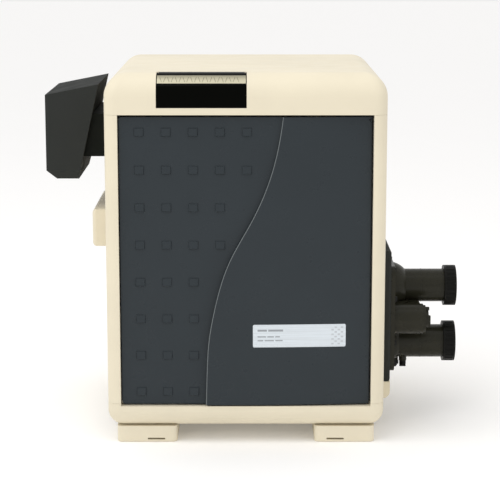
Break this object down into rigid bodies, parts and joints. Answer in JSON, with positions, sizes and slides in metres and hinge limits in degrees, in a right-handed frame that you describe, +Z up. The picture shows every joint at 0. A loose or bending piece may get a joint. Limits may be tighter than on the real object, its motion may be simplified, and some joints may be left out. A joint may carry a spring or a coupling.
{
  "type": "pool heater",
  "caption": "Floor-standing pool and spa heater: square cream cabinet, lift-off crowned door, control lid, side exhaust hood, water header with union nuts.",
  "frame": {"origin": "middle of the whole heater's footprint, on the floor", "axes": "+Z up, -Y towards the front door, +X towards the water header"},
  "size_m": [0.836, 0.554, 0.732],
  "materials": {
    "cream_plastic": "moulded, fine satin",
    "door_plastic": "moulded charcoal, satin",
    "black_plastic": "moulded, satin",
    "black_steel": "black paint",
    "dark_mesh": "black paint",
    "screw_steel": "zinc plated",
    "spring_steel": "bright",
    "label_silver": "printed aluminium label",
    "band_silver": "satin foil",
    "housing_plastic": "moulded",
    "smoked_plastic": "high gloss",
    "display_plastic": "dark display",
    "lens_glass": "clear",
    "circuit_board": "solder mask",
    "key_rubber": "satin keys",
    "key_red": "satin key",
    "galvanised": "galvanised sheet",
    "hose_rubber": "ribbed hose",
    "ceramic_fibre": "ceramic fibre",
    "copper": "copper",
    "lid_steel": "stamped sheet",
    "stainless": "stainless",
    "ceramic": "glazed ceramic",
    "cast_aluminium": "as cast",
    "motor_paint": "black paint",
    "pipe_iron": "black iron pipe",
    "knob_plastic": "red knob",
    "transformer_iron": "laminated core",
    "header_plastic": "glass-filled, satin",
    "nut_plastic": "moulded"
  },
  "bodies": {
    "cabinet": {"base_tray": "cream_plastic", "feet": "cream_plastic", "left_panel": "cream_plastic", "right_panel": "cream_plastic", "rear_panel": "cream_plastic", "top_cover": "cream_plastic", "intake_hood": "cream_plastic", "intake_screen": "dark_mesh", "panel_screws": "screw_steel", "control_housing": "housing_plastic", "cover_hinge_pin": "screw_steel", "display_module": "display_plastic", "display_lens": "lens_glass", "keypad_board": "circuit_board", "exhaust_hood": "black_plastic", "exhaust_duct": "black_steel", "exhaust_grille": "black_plastic", "flue_box": "galvanised", "flue_riser": "galvanised", "intake_hose": "hose_rubber", "chamber_shell": "galvanised", "chamber_insulation": "ceramic_fibre", "heat_exchanger": "copper", "chamber_lid": "lid_steel", "burner": "stainless", "igniter": "ceramic", "mixture_pipe": "cast_aluminium", "blower_housing": "cast_aluminium", "blower_motor": "motor_paint", "inlet_plenum": "housing_plastic", "gas_pipe": "pipe_iron", "gas_valve": "cast_aluminium", "gas_outlet_pipe": "copper", "control_box": "galvanised", "control_board": "circuit_board", "transformer": "transformer_iron", "junction_box": "galvanised", "plumbing_plate": "black_plastic", "water_header": "header_plastic", "bypass_cap": "header_plastic", "bypass_spring": "stainless", "pressure_switch": "housing_plastic", "hex_bolts": "pipe_iron"},
    "door": {"front_door": "door_plastic", "nameplate": "label_silver", "door_clips": "spring_steel"},
    "control_lid": {"control_cover": "smoked_plastic", "cover_band": "band_silver"},
    "key_pool": {"button_pool": "key_rubber"},
    "key_spa": {"button_spa": "key_rubber"},
    "key_up": {"button_up": "key_rubber"},
    "key_down": {"button_down": "key_rubber"},
    "key_off": {"button_off": "key_red"},
    "rotor": {"blower_impeller": "stainless", "motor_shaft": "screw_steel"},
    "valve_knob": {"gas_valve_knob": "knob_plastic"},
    "nut_upper": {"union_nut_upper": "nut_plastic"},
    "nut_lower": {"union_nut_lower": "nut_plastic"},
    "plunger": {"bypass_plunger": "nut_plastic"},
    "drain": {"drain_plug": "nut_plastic"}
  },
  "joints": [
    {"name": "door_lift_off", "type": "slide", "parent": "cabinet", "child": "door", "axis": [0, -1, 0], "range_m": [0, 0.25]},
    {"name": "control_lid_hinge", "type": "hinge", "parent": "cabinet", "child": "control_lid", "pos_m": [-0.10235, -0.231, 0.7265], "axis": [-1, 0, 0], "range_deg": [0, 100]},
    {"name": "pool_key_press", "type": "slide", "parent": "cabinet", "child": "key_pool", "axis": [0, 0.7071, -0.7071], "range_m": [0, 0.0015], "stiffness_N_per_m": 600, "springref_m": -0.0006},
    {"name": "spa_key_press", "type": "slide", "parent": "cabinet", "child": "key_spa", "axis": [0, 0.7071, -0.7071], "range_m": [0, 0.0015], "stiffness_N_per_m": 600, "springref_m": -0.0006},
    {"name": "up_key_press", "type": "slide", "parent": "cabinet", "child": "key_up", "axis": [0, 0.7071, -0.7071], "range_m": [0, 0.0015], "stiffness_N_per_m": 600, "springref_m": -0.0006},
    {"name": "down_key_press", "type": "slide", "parent": "cabinet", "child": "key_down", "axis": [0, 0.7071, -0.7071], "range_m": [0, 0.0015], "stiffness_N_per_m": 600, "springref_m": -0.0006},
    {"name": "off_key_press", "type": "slide", "parent": "cabinet", "child": "key_off", "axis": [0, 0.7071, -0.7071], "range_m": [0, 0.0015], "stiffness_N_per_m": 600, "springref_m": -0.0006},
    {"name": "blower_spin", "type": "hinge", "parent": "cabinet", "child": "rotor", "pos_m": [-0.0755, -0.17, 0.19], "axis": [0, 1, 0], "continuous": true},
    {"name": "gas_valve_turn", "type": "hinge", "parent": "cabinet", "child": "valve_knob", "pos_m": [0.1125, -0.213, 0.35], "axis": [0, 0, 1], "range_deg": [0, 90]},
    {"name": "upper_union_turn", "type": "hinge", "parent": "cabinet", "child": "nut_upper", "pos_m": [0.4025, -0.038, 0.272], "axis": [1, 0, 0], "continuous": true},
    {"name": "lower_union_turn", "type": "hinge", "parent": "cabinet", "child": "nut_lower", "pos_m": [0.4025, -0.038, 0.153], "axis": [1, 0, 0], "continuous": true},
    {"name": "bypass_plunger_slide", "type": "slide", "parent": "cabinet", "child": "plunger", "axis": [1, 0, 0], "range_m": [0, 0.01], "stiffness_N_per_m": 700, "springref_m": -0.003, "deforming": ["bypass_spring"]},
    {"name": "drain_plug_turn", "type": "hinge", "parent": "cabinet", "child": "drain", "pos_m": [0.3115, -0.044, 0.11], "axis": [0, 0, 1], "continuous": true}
  ]
}
